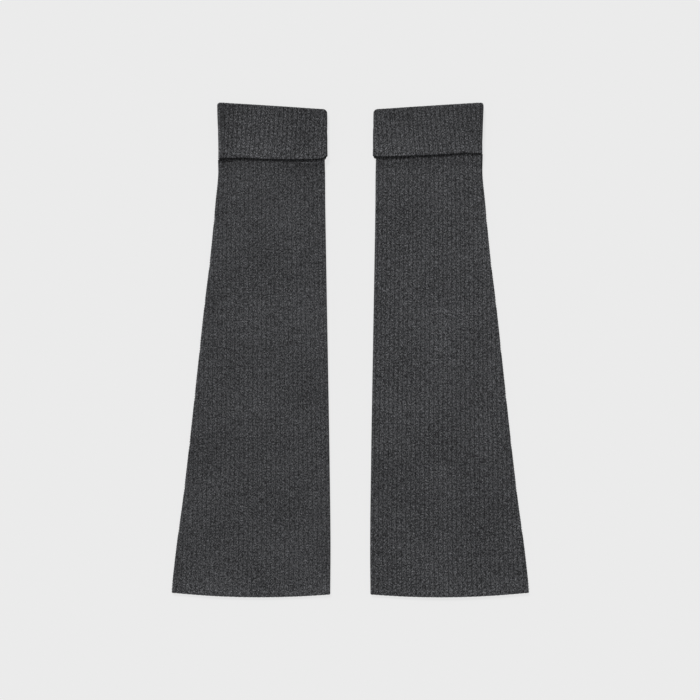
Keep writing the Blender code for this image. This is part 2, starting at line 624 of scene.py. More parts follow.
@dataclass(frozen=True)
class Layers:
    """The cloth's thickness and how its layers lie on each other."""

    cloth: float = 0.0015  # its thickness
    gap: float = 0.0003  # of air between two layers
    side_bend: float = 0.0012  # radius of the bend along a side
    roll_reach: float = 0.012  # in from a side, where the cloth has come down flat
    seam_gap: float = 0.0001  # between the edges of the two panels
    settle: float = 0.014  # below the cuff, where the leg has come down to the surface
    snug: float = 0.0005  # below the cuff, where the leg has its own width again
    fullness: float = 0.0004  # how far the soft sides stand out past the solid's
    fold_fullness: float = 0.0002  # and the leg's inner fold, where the cloth is pressed flat

    @property
    def step(self) -> float:
        """From the middle of one layer to the middle of the next."""
        return self.cloth + self.gap

    @property
    def roll(self) -> float:
        """How far a front panel stands up along its side folds."""
        return 2 * self.side_bend - self.step


@dataclass(frozen=True)
class Section:
    """The middle line of a cloth's section, from its inner seam to its outer one."""

    across: np.ndarray
    z: np.ndarray
    length: np.ndarray  # along the line, from the inner seam
    reach: float = 0.00015  # to either side of a place, over which its direction is taken

    @staticmethod
    def through(points: np.ndarray) -> Section:
        """A section through (across, z) points."""
        steps = np.linalg.norm(np.diff(points, axis=0), axis=1)
        return Section(points[:, 0], points[:, 1], np.concatenate([[0.0], np.cumsum(steps)]))

    @property
    def whole(self) -> float:
        """Its whole length."""
        return float(self.length[-1])

    def points(self, length: np.ndarray) -> np.ndarray:
        """The (across, z) points at some lengths along the line."""
        return np.stack(
            [np.interp(length, self.length, self.across), np.interp(length, self.length, self.z)],
            axis=1,
        )

    def outwards(self, length: np.ndarray, facing: Facing) -> np.ndarray:
        """The directions square to the line, away from the tube.

        Args:
            length: Places along the line.
            facing: The panel that the line is of.

        Returns:
            A unit (across, z) vector for each place.
        """
        ahead = self.points(np.clip(length + self.reach, 0.0, self.whole))
        behind = self.points(np.clip(length - self.reach, 0.0, self.whole))
        along = ahead - behind
        out = np.stack([-along[:, 1], along[:, 0]], axis=1) * facing.value
        return out / np.linalg.norm(out, axis=1, keepdims=True)


@dataclass(frozen=True)
class TubeForm:
    """The shape of one leg warmer as it lies: its outline, its turned-down top and its layers."""

    side: Side
    cuff_edge: Curve  # how far down the free edge of the cuff's front is
    drawn_in: float  # how much narrower than its curves the cuff is at its free edge
    layers: Layers = Layers()
    length: float = CAD_BOX[1].y - CAD_BOX[0].y
    leg_inner: Curve = Curve(  # how far across the leg's inner side is, at a distance down
        (
            (0.000, 0.0250),
            (0.058, 0.0249),
            (0.067, 0.0247),
            (0.095, 0.0245),
            (0.153, 0.0236),
            (0.250, 0.0219),
            (0.347, 0.0203),
            (0.444, 0.0194),
            (0.476, 0.0197),
        )
    )
    leg_outer: Curve = Curve(  # and its outer side
        (
            (0.000, 0.1286),
            (0.058, 0.1282),
            (0.067, 0.1281),
            (0.095, 0.1306),
            (0.153, 0.1362),
            (0.192, 0.1410),
            (0.250, 0.1473),
            (0.340, 0.1571),
            (0.388, 0.1628),
            (0.430, 0.1686),
            (0.476, 0.1738),
        )
    )
    cuff_inner: Curve = Curve(((0.000, 0.0230), (0.020, 0.0224), (0.045, 0.0222), (0.060, 0.0219)))
    cuff_outer: Curve = Curve(((0.000, 0.1294), (0.020, 0.1286), (0.045, 0.1279), (0.060, 0.1280)))
    fold_rise: float = 0.0643  # slope of the folded top
    fold_peak: float = 0.122  # how far across it is highest
    fold_corner: float = 0.0026  # radius of its two corners
    fold_short: float = 0.00022  # how far the soft fold stops short of the solid's
    fold_down: float = 0.006  # where the fold takes its section from
    turn_in: float = 0.0065  # below the folded top, where the turned-down cloth starts inside
    hem_radius: float = 0.83  # of the hem's arc
    hem_middle: float = 0.0875  # how far across the arc is lowest
    hem_corner: float = 0.0012  # radius of its inner corner
    crown: float = 0.0011  # how far air lifts the middle of a front panel
    crown_reach: float = 0.038  # in from a side, where the lift is full
    hem_reach: float = 0.055  # up from the hem, where the lift is full
    hem_share: float = 0.45  # of the lift, which is left at the hem
    ripple: float = 0.00016  # height of the cloth's slow ripples
    ripples: tuple[Swell, ...] = (
        Swell(23.0, 61.0, 1.3),
        Swell(-47.0, 33.0, 2.6),
        Swell(11.0, 97.0, -1.3, 0.6),
    )
    bend_points: int = 9  # in a section, round one side's bend
    flat_points: int = 90  # and between the two bends
    back_drop: float = 0.0020  # how much lower the cuff's free edge hangs at the back
    drop_start: float = 0.0002  # from the inner side fold
    drop_reach: float = 0.0012  # from there, where it hangs lowest
    drop_end: float = 0.045  # from there, where it is level with the front's again

    def slope_down(self, across: np.ndarray) -> np.ndarray:
        """The slope of the folded top."""
        return self.fold_rise * np.clip(self.fold_peak - across, 0.0, None)

    def fold_top(self, across: np.ndarray) -> np.ndarray:
        """How far down the folded top's outer face is, with its two round corners.

        Args:
            across: Places across the leg warmer.

        Returns:
            The distance down at each.
        """
        sloped = self.slope_down(across)
        inside = np.minimum(
            across - self.cuff_inner.at(sloped), self.cuff_outer.at(sloped) - across
        )
        rounding = corner(np.clip(inside, 0.0, None), self.fold_corner)
        return sloped + rounding + self.fold_short

    def hem_down(self, across: np.ndarray) -> np.ndarray:
        """How far down the hem's shallow arc is, with its round inner corner.

        Args:
            across: Places across the leg warmer.

        Returns:
            The distance down at each.
        """
        arc = self.length - (across - self.hem_middle) ** 2 / (2 * self.hem_radius)
        inside = np.clip(across - self.leg_inner.at(arc), 0.0, None)
        return arc - corner(inside, self.hem_corner)

    def leg_section(self, sides: np.ndarray, lift: float, snug: float, facing: Facing) -> Section:
        """A leg panel's section.

        Args:
            sides: How far down its inner and its outer end are.
            lift: How far it lies above the surface, on the cuff's back.
            snug: How far it is still drawn in by the cuff, from 0 to 1.
            facing: The panel.

        Returns:
            The section.
        """
        cloth = self.layers
        start = float(self.leg_inner.at(sides[0])) + cloth.cloth / 2 - cloth.fold_fullness
        free = float(self.leg_outer.at(sides[1]))
        held = float(self.cuff_outer.at(sides[1])) - cloth.step
        end = free + snug * (held - free) - cloth.cloth / 2 + cloth.fullness
        seam = lift + cloth.cloth / 2 + cloth.side_bend
        radius = cloth.side_bend - cloth.seam_gap / 2
        turns = np.linspace(0.0, math.pi / 2, self.bend_points)
        away = radius * (1 - np.cos(turns))
        rise = cloth.seam_gap / 2 + radius * np.sin(turns)
        flat = np.linspace(start + radius, end - radius, self.flat_points)[1:-1]
        inside = np.minimum(flat - start, end - flat) - radius
        roll = cloth.roll if facing is Facing.FRONT else 0.0
        level = seam + facing.value * cloth.side_bend - roll * ease(inside / cloth.roll_reach)
        bend = np.stack([start + away, seam + facing.value * rise], axis=1)
        back = np.stack([end - away, seam + facing.value * rise], axis=1)[::-1]
        return Section.through(np.concatenate([bend, np.stack([flat, level], axis=1), back]))

    def cuff_section(self, inside: Section, down: float, facing: Facing) -> Section:
        """A cuff's section: the leg's inside it, moved out by a layer.

        Args:
            inside: The leg's section.
            down: How far down it is.
            facing: The cuff's half.

        Returns:
            The section, let out at the inner side fold.
        """
        points = inside.points(inside.length)
        points += self.layers.step * inside.outwards(inside.length, facing)
        side = points[0, 0] - self.layers.cloth / 2 + self.layers.fullness
        edge = float(self.cuff_edge.at(points[0, 0]))
        proud = side - float(self.cuff_inner.at(down)) - self.drawn_in * float(ease(down / edge))
        from_side = (points[:, 0] - points[0, 0]) / self.layers.roll_reach
        points[:, 0] -= proud * (1.0 - ease(from_side))
        return Section.through(points)

    def relief(self, across: np.ndarray, down: np.ndarray) -> np.ndarray:
        """How far a front panel lies above the solid's, where air and slack lift it.

        Args:
            across: Places across the leg warmer.
            down: How far down each is.

        Returns:
            The height at each place, which is nothing along the side folds.
        """
        from_side = np.minimum(across - self.leg_inner.at(down), self.leg_outer.at(down) - across)
        free = ease(np.clip(from_side, 0.0, None) / self.crown_reach)
        to_hem = ease((self.length - down) / self.hem_reach)
        waves = sum(swell.at(across, down, self.side.value) for swell in self.ripples)
        rest = self.hem_share + (1.0 - self.hem_share) * to_hem
        return free * (self.crown * rest + self.ripple * waves)

    def free_edge(self, across: np.ndarray, facing: Facing) -> np.ndarray:
        """How far down a cuff's free edge is, which hangs a little lower behind the inner fold.

        Args:
            across: Places across the leg warmer.
            facing: The cuff's half.

        Returns:
            The distance down at each.
        """
        edge = self.cuff_edge.at(across)
        if facing is Facing.FRONT:
            return edge
        from_fold = across - across.min() - self.drop_start
        low = ease(from_fold / self.drop_reach) * (1.0 - ease(from_fold / self.drop_end))
        return edge + self.back_drop * low


@dataclass(frozen=True)
class RibPattern:
    """How the ribs run in a piece: their width, their depth and the shape of one rib."""

    top_pitch: float = 0.00408  # width of a rib at the top
    hem_pitch: float = 0.00456  # and at the hem
    course: float = 0.00115  # height of one course of stitches
    parted: float = 90.0  # ribs between one piece's place on the knit and the next piece's
    groove: float = 0.00042  # depth of a groove on the outer face
    hollow: float = 0.00030  # depth of the hollow behind a ridge
    crease: float = 0.00010  # depth of the line between a ridge's two wales
    scallop: float = 0.00008  # how far a ridge reaches past a free edge, and a groove short of it
    groove_half: float = 0.03  # of a rib, from the middle of its groove to the groove's side
    groove_side: float = 0.15  # of a rib, which that side takes
    crease_half: float = 0.10  # of a rib, from the line between the wales to a wale's top
    ragged: tuple[Swell, Swell] = (Swell(2.9, start=0.8, height=0.5), Swell(1.3))
    wander: float = 0.00011  # how far each of its two swells takes a rib to either side
    wanders: tuple[Swell, Swell] = (Swell(0.47, 21.0), Swell(1.31, -37.0, 1.7))
    start: float = 0.25  # of a rib, which lies on the inner side fold
    columns: tuple[float, ...] = (0.0, 0.08, 0.17, 0.33, 0.5, 0.67, 0.83, 0.92)

    def pitch(self, share: float) -> float:
        """The ribs' width, at a share of the way from the top to the hem."""
        return self.top_pitch + (self.hem_pitch - self.top_pitch) * share

    def groove_share(self, rib: np.ndarray) -> np.ndarray:
        """1 in the middle of a groove and 0 on a ridge."""
        from_groove = np.abs(rib - np.round(rib))
        return 1.0 - ease((from_groove - self.groove_half) / self.groove_side)

    def sunk(self, rib: np.ndarray) -> tuple[np.ndarray, np.ndarray]:
        """How deep the ribs' shape goes into the wall.

        Args:
            rib: Places across the knit, in ribs.

        Returns:
            The depth at each place in the outer face, and in the inner one.
        """
        dip = self.groove_share(rib)
        from_groove = np.abs(rib - np.round(rib))
        crease = self.crease * ease(1.0 - (0.5 - from_groove) / self.crease_half)
        return self.groove * dip + crease, self.hollow * (1.0 - dip)

    def placed(self, phases: np.ndarray, share: float, down: float) -> np.ndarray:
        """The places of the columns along a section, some of them past its ends.

        Args:
            phases: The columns, in ribs.
            share: The share of the way from the top to the hem.
            down: How far down the section is.

        Returns:
            Each column's length along the section, from the inner side fold.
        """
        return (phases - self.start) * self.pitch(share) + self.strayed(phases, down)

    def edge_reach(self, rib: np.ndarray) -> np.ndarray:
        """How far the cloth's free edge reaches past its line."""
        uneven = self.ragged[0].at(rib, 0.0) * self.ragged[1].at(rib, 0.0)
        return self.scallop * (1.0 - 2.0 * self.groove_share(rib) + uneven)

    def strayed(self, rib: np.ndarray, down: float) -> np.ndarray:
        """How far to one side each rib has strayed, at some way down the cloth."""
        return self.wander * sum(swell.at(rib, down) for swell in self.wanders)


@dataclass
class Grid:
    """Rows and columns of places on a cloth: the wall's middle, its outward way and its knit."""

    middle: list[np.ndarray] = field(default_factory=list)
    out: list[np.ndarray] = field(default_factory=list)
    rib: list[np.ndarray] = field(default_factory=list)
    course: list[np.ndarray] = field(default_factory=list)
    closing: list[np.ndarray] = field(default_factory=list)  # 0 on an edge, 1 away from it
    depth: list[float] = field(default_factory=list)  # the share of the ribs' depth in each row

    def add(
        self,
        middle: np.ndarray,
        out: np.ndarray,
        rib: np.ndarray,
        course: np.ndarray,
        closing: np.ndarray,
        depth: float = 1.0,
    ) -> None:
        """Adds a row.

        Args:
            middle: Each column's place in the middle of the wall, as (across, down, z).
            out: The outward direction there.
            rib: The place across the knit, in ribs.
            course: The place down the knit, in courses.
            closing: The share of its thickness that the wall has.
            depth: The share of their depth that the ribs have.
        """
        self.middle.append(middle)
        self.out.append(out)
        self.rib.append(rib)
        self.course.append(course)
        self.closing.append(closing)
        self.depth.append(depth)


def rounded(distance: np.ndarray | float, radius: float) -> np.ndarray:
    """The share of its thickness that a round-edged cloth has at a distance from its edge."""
    return np.sqrt(1.0 - (1.0 - np.clip(np.asarray(distance) / radius, 0.0, 1.0)) ** 2)


def two_walls(rows: int, columns: int, turned: bool) -> list[tuple[int, int, int, int]]:
    """The faces of an outer wall of rows and columns, and of an inner wall the other way round.

    Args:
        rows: The rows of points in each wall.
        columns: The points in each row.
        turned: Whether the outer wall's faces run down first.

    Returns:
        The faces.
    """
    faces = []
    for wall in (0, 1):
        for i in range(rows - 1):
            low = (wall * rows + i) * columns
            for j in range(columns - 1):
                ring = (low + j, low + columns + j, low + columns + j + 1, low + j + 1)
                faces.append(ring if turned == (wall == 0) else ring[::-1])
    return faces


def close(mesh: bpy.types.Mesh, knit: np.ndarray) -> None:
    """Gives a mesh its knit map, closes it and shades it smooth.

    Args:
        mesh: The two walls, which meet at their edges.
        knit: The rib and course of each of its points.
    """
    corners = np.empty(len(mesh.loops), dtype=np.int32)
    mesh.loops.foreach_get("vertex_index", corners)
    layer = mesh.uv_layers.new(name=KNIT_UV)
    layer.uv.foreach_set("vector", knit[corners].astype(np.float32).ravel())
    bm = bmesh.new()
    bm.from_mesh(mesh)
    bmesh.ops.remove_doubles(bm, verts=bm.verts, dist=SAME_PLACE)
    bmesh.ops.dissolve_degenerate(bm, edges=bm.edges, dist=NO_LENGTH)
    if bm.calc_volume(signed=True) < 0:
        bmesh.ops.reverse_faces(bm, faces=bm.faces)
    bm.to_mesh(mesh)
    bm.free()
    mesh.shade_smooth()


def linked(shape: bpy.types.Mesh | bpy.types.Curve) -> bpy.types.Object:
    """Puts a shape in the scene.

    Args:
        shape: The mesh or curve.

    Returns:
        Its object.
    """
    piece = bpy.data.objects.new(shape.name, shape)
    bpy.context.scene.collection.objects.link(piece)
    return piece


@dataclass
class RibbedWall:
    """A closed wall of rib knit. A piece of the garment makes its grid of places."""

    form: TubeForm
    facing: Facing
    ribs: RibPattern = RibPattern()
    seam_radius: float = 0.0005  # of the cloth's edge along the outer seam and a free edge
    fold_radius: float = 0.00012  # of its edge along the inner side fold
    seam_columns: tuple[float, ...] = (0.0, 0.00008, 0.00024)  # from a side
    edge_rows: tuple[float, ...] = (0.0005, 0.00024, 0.00008, 0.0)  # from a free edge

    @property
    def name(self) -> str:
        """The name of the CAD node that the piece stands for."""
        raise NotImplementedError

    def grid(self) -> Grid:
        """The piece's rows and columns of places."""
        raise NotImplementedError

    @property
    def cone(self) -> float:
        """Whole ribs that part this piece's place on the knit from the others', so its marl differs."""
        order = self.form.side.value + (3 + self.facing.value) / 2  # from 0 to 3
        return self.ribs.parted * order

    def columns(self, placed: np.ndarray, whole: float) -> np.ndarray:
        """The places along a section of its seam edges and of the ribs between them.

        Args:
            placed: The places of the ribs' own columns, some of them past the seams.
            whole: The section's length.

        Returns:
            A place for every column. Those past a seam are gathered just inside it.
        """
        start = np.array(self.seam_columns)
        kept = np.clip(placed, self.seam_radius, whole - self.seam_radius)
        return np.concatenate([start, kept, whole - start[::-1]])

    def closing(self, length: np.ndarray, whole: float) -> np.ndarray:
        """The share of its thickness that the cloth has towards its two sides.

        Args:
            length: Places along a section.
            whole: The section's length.

        Returns:
            The share, which falls away sharply at the inner fold and roundly at the outer seam.
        """
        return rounded(length, self.fold_radius) * rounded(whole - length, self.seam_radius)

    def build(self) -> bpy.types.Object:
        """Makes the wall's mesh from its grid.

        Returns:
            The wall's object.
        """
        grid = self.grid()
        middle, out = np.array(grid.middle), np.array(grid.out)
        rib, closing = np.array(grid.rib), np.array(grid.closing)
        groove, hollow = (sunk * np.array(grid.depth)[:, None] for sunk in self.ribs.sunk(rib))
        centre = middle + out * ((hollow - groove) / 2)[..., None]
        half = (self.form.layers.cloth - hollow - groove) / 2 * closing
        rows, columns = rib.shape
        walls = np.stack([centre + out * half[..., None], centre - out * half[..., None]])
        places = laid(walls.reshape(-1, 3), self.form.side)
        mesh = bpy.data.meshes.new(self.name + "_knit")
        turned = self.form.side.value * self.facing.value > 0
        mesh.from_pydata(places, [], two_walls(rows, columns, turned))
        knit = np.stack([rib + self.cone, np.array(grid.course)], axis=-1).reshape(-1, 2)
        close(mesh, np.tile(knit, (2, 1)))
        return linked(mesh)


@dataclass
class LegPanel(RibbedWall):
    """The front or back panel of the tube, from inside the turned-down top to the hem."""

    under_rows: int = 6  # under the cuff
    settle_shares: tuple[float, ...] = (0.02, 0.045, 0.07, 0.1, 0.15, 0.25, 0.4, 0.58, 0.78, 1.0)
    body_rows: int = 112  # from where the leg has settled to the hem
    overrun: float = 0.0004  # how far the soft hem reaches past the solid's
    widest: float = 0.160  # which the ribs have to cover
    ends: tuple[float, float] = (0.025, 0.128)  # about where a row's two ends are
    tries: int = 3  # to place a row's ends on the slanting edges

    @property
    def name(self) -> str:
        """The name of the CAD node that the panel stands for."""
        return f"{self.form.side.name.lower()}_leg_{self.facing.name.lower()}"

    def rows(self) -> list[tuple[float, float, float, float]]:
        """The rows, from inside the turned-down top to the hem.

        Returns:
            Each row, as how far under the cuff, below it, on to the hem and short of that it is.
        """
        settle = self.form.layers.settle
        rows = [(1.0 - i / self.under_rows, 0.0, 0.0, 0.0) for i in range(self.under_rows + 1)]
        rows += [(0.0, settle * share, 0.0, 0.0) for share in self.settle_shares]
        rows += [(0.0, settle, (i + 1) / self.body_rows, 0.0) for i in range(self.body_rows - 1)]
        rows += [(0.0, settle, 1.0, short) for short in self.edge_rows]
        return rows

    def down(self, row: tuple[float, float, float, float], across: np.ndarray) -> np.ndarray:
        """How far down a row lies.

        Args:
            row: The row.
            across: Places across the panel.

        Returns:
            The distance down at each.
        """
        under, below, to_hem, short = row
        form = self.form
        edge = form.cuff_edge.at(across)
        top = form.slope_down(across) + form.turn_in + form.layers.gap
        down = edge + under * (top - edge) + below
        return down + to_hem * (form.hem_down(across) - down) - short

    def grid(self) -> Grid:
        """The panel's rows and columns of places.

        Returns:
            The grid.
        """
        form, cloth, grid = self.form, self.form.layers, Grid()
        ribs = math.ceil(self.widest / self.ribs.top_pitch)
        phases = np.add.outer(np.arange(ribs), self.ribs.columns).ravel()
        for number, row in enumerate(self.rows()):
            lift = cloth.step * (1.0 - float(ease(row[1] / cloth.settle)))
            snug = 1.0 - float(ease(row[1] / cloth.snug))
            ends = np.array(self.ends)
            for _ in range(self.tries):
                section = form.leg_section(self.down(row, ends), lift, snug, self.facing)
                ends = section.across[[0, -1]]
            middle_down = float(self.down(row, np.array([ends.mean()]))[0])
            placed = self.ribs.placed(phases, middle_down / form.length, middle_down)
            length = self.columns(placed, section.whole)
            points, out = section.points(length), section.outwards(length, self.facing)
            down = self.down(row, points[:, 0])
            if self.facing is Facing.FRONT:
                points[:, 1] += form.relief(points[:, 0], down)
            rib = np.interp(length, placed, phases)
            if row[2] == 1.0:
                down = down + self.overrun + self.ribs.edge_reach(rib)
            closing = self.closing(length, section.whole)
            if number == 0:
                closing = closing * 0.0
            closing = closing * rounded(row[3] if row[2] == 1.0 else 1.0, self.seam_radius)
            course = down / self.ribs.course
            grid.add(joined(points, down), joined(out, 0.0), rib, course, closing)
        return grid


@dataclass(frozen=True)
class Fold:
    """Where a cuff's columns lie at its fold, along which the cloth turns from inside to outside."""

    phases: np.ndarray  # each rib column's place on the knit, in ribs
    placed: np.ndarray  # and its place along the section outside
    length: np.ndarray  # each of the grid's columns' place along the section outside
    whole: float  # that section's length
    inner: np.ndarray  # each column's (across, z) point inside the fold
    outer: np.ndarray  # and outside it
    top: np.ndarray  # how far down the cloth's middle is at the fold's top

    @property
    def radius(self) -> np.ndarray:
        """The radius that each column turns round."""
        return np.linalg.norm(self.outer - self.inner, axis=1) / 2

    @property
    def centre(self) -> np.ndarray:
        """How far down the centre of each column's turn is."""
        return self.top + self.radius

    @property
    def rib(self) -> np.ndarray:
        """Each column's place on the knit."""
        return np.interp(self.length, self.placed, self.phases)


@dataclass
class CuffHalf(RibbedWall):
    """The front or back of the turned-down top: up inside the tube, over the fold and down."""

    inside_rows: int = 3  # inside the tube
    fold_rows: int = 14  # over the fold
    cuff_rows: int = 40  # down to the free edge
    pitch_share: float = 0.10  # of the way down the leg, where its ribs are as wide
    stretch: float = 1.06  # the cuff's rib pitch, as a share of the leg's inside it
    stretched: float = 0.65  # the share of the ribs' depth that the fold pulls flat
    flare: float = 0.0012  # how far the front's free edge stands off the leg
    flare_reach: float = 0.012  # up from the free edge, where the flare starts
    flare_sides: float = 0.005  # in from a side, where it is full
    held_side: float = 0.4  # the share of the flare at the side that lies flatter
    lean_left: float = math.tan(math.radians(3.6))  # how the ribs lean outwards going down
    lean_right: float = math.tan(math.radians(5.4))  # and on the right leg warmer
    spare_ribs: int = 4  # past the two sides, for the lean to bring in

    @property
    def name(self) -> str:
        """The name of the CAD node that the cuff stands for."""
        return f"{self.form.side.name.lower()}_cuff_{self.facing.name.lower()}"

    @property
    def fold_top_row(self) -> int:
        """The grid's row along the top of the fold."""
        return self.inside_rows + self.fold_rows // 2

    @property
    def lean(self) -> float:
        """How far the ribs of the turned-down cloth lean outwards for each metre down."""
        return self.lean_left if self.form.side is Side.LEFT else self.lean_right

    def grid(self) -> Grid:
        """The cuff's rows and columns of places.

        Returns:
            The grid.
        """
        fold, grid = self.fold(), Grid()
        for i in range(self.inside_rows):
            self.add_inside(grid, fold, 1.0 - i / self.inside_rows)
        for i in range(self.fold_rows + 1):
            self.add_fold(grid, fold, math.pi * i / self.fold_rows)
        for i in range(1, self.cuff_rows):
            self.add_down(grid, fold, i / self.cuff_rows, 0.0)
        for short in self.edge_rows:
            self.add_down(grid, fold, 1.0, short)
        return grid

    def fold(self) -> Fold:
        """Lays out the fold along the cuff's top.

        Returns:
            The fold.
        """
        form = self.form
        inside = form.leg_section(np.full(2, form.fold_down), form.layers.step, 1.0, self.facing)
        outside = form.cuff_section(inside, form.fold_down, self.facing)
        pitch = self.ribs.pitch(self.pitch_share) * self.stretch
        count = math.ceil(outside.whole / pitch) + self.spare_ribs
        ribs = np.arange(-self.spare_ribs // 2, count)
        phases = np.add.outer(ribs, self.ribs.columns).ravel()
        placed = (phases - self.ribs.start) * pitch
        length = self.columns(placed, outside.whole)
        inner = inside.points(np.interp(length, outside.length, inside.length))
        outer = outside.points(length)
        top = form.fold_top(outer[:, 0]) + form.layers.cloth / 2
        return Fold(phases, placed, length, outside.whole, inner, outer, top)

    def raised(self, points: np.ndarray, down: np.ndarray) -> np.ndarray:
        """Points of a row, lifted by the slack of the front panel if they lie over it.

        Args:
            points: Each point's (across, z).
            down: How far down each is.

        Returns:
            The points, as a copy.
        """
        lift = self.form.relief(points[:, 0], down) if self.facing is Facing.FRONT else 0.0
        return points + np.stack([down * 0.0, down * 0.0 + lift], axis=1)

    def stand_off(self, length: np.ndarray, whole: float, from_edge: float) -> np.ndarray:
        """How far a row of the front stands off the leg, the more the nearer its free edge.

        Args:
            length: Places along the row's section.
            whole: The section's length.
            from_edge: How far the row is from the free edge.

        Returns:
            The height at each place, which is more at the pair's own left.
        """
        stands = length / whole if self.form.side is Side.LEFT else 1.0 - length / whole
        share = self.held_side + (1.0 - self.held_side) * ease(stands)
        held = ease(np.minimum(length, whole - length) / self.flare_sides) * share
        return self.flare * held * (1.0 - float(ease(from_edge / self.flare_reach)))

    def add_inside(self, grid: Grid, fold: Fold, share: float) -> None:
        """Adds a row of the stretch inside the tube.

        Args:
            grid: The grid to add to.
            fold: The cuff's fold.
            share: The row's place, from 0 at the fold to 1 where the cloth starts.
        """
        start = self.form.slope_down(fold.inner[:, 0]) + self.form.turn_in
        down = fold.centre + share * (start - fold.centre)
        out = (fold.inner - fold.outer) / (2 * fold.radius[:, None])
        grid.add(
            joined(self.raised(fold.inner, down), down),
            joined(out, 0.0),
            fold.rib,
            (fold.centre - down) / self.ribs.course,
            self.closing(fold.length, fold.whole) * (0.0 if share == 1.0 else 1.0),
        )

    def add_fold(self, grid: Grid, fold: Fold, turn: float) -> None:
        """Adds a row of the fold itself.

        Args:
            grid: The grid to add to.
            fold: The cuff's fold.
            turn: How far the cloth has turned, from nothing inside to half a turn outside.
        """
        across = (fold.outer - fold.inner) / (2 * fold.radius[:, None])
        middle = (fold.inner + fold.outer) / 2
        down = fold.centre - fold.radius * math.sin(turn)
        place = self.raised(middle - across * fold.radius[:, None] * math.cos(turn), down)
        grid.add(
            joined(place, down),
            joined(-across * math.cos(turn), -math.sin(turn)),
            fold.rib,
            fold.radius * turn / self.ribs.course,
            self.closing(fold.length, fold.whole),
            1.0 - self.stretched * math.sin(turn),
        )

    def add_down(self, grid: Grid, fold: Fold, share: float, short: float) -> None:
        """Adds a row of the stretch that lies down over the leg.

        Args:
            grid: The grid to add to.
            fold: The cuff's fold.
            share: The row's place, from 0 at the fold to 1 at the free edge.
            short: How far short of that the row stops.
        """
        form = self.form
        reach = float((form.cuff_edge.at(fold.outer[:, 0]) - fold.centre).mean())
        middle_down = float(fold.centre.mean()) + reach * share
        leg = form.leg_section(np.full(2, middle_down), form.layers.step, 1.0, self.facing)
        section = form.cuff_section(leg, middle_down, self.facing)
        placed = fold.placed + self.lean * reach * share
        placed += self.ribs.strayed(fold.phases, middle_down)
        length = self.columns(placed, section.whole)
        points, out = section.points(length), section.outwards(length, self.facing)
        top = np.interp(points[:, 0], fold.outer[:, 0], fold.centre)
        down = top + share * (form.free_edge(points[:, 0], self.facing) - top) - short
        rib = np.interp(length, placed, fold.phases)
        if share == 1.0:
            down = down + self.ribs.edge_reach(rib)
        points = self.raised(points, down)
        if self.facing is Facing.FRONT:
            points[:, 1] += self.stand_off(length, section.whole, (1.0 - share) * reach)
        rim = rounded(short if share == 1.0 else 1.0, self.seam_radius)
        grid.add(
            joined(points, down),
            joined(out, 0.0),
            rib,
            (math.pi * float(fold.radius.mean()) + down - top) / self.ribs.course,
            self.closing(length, section.whole) * rim,
        )


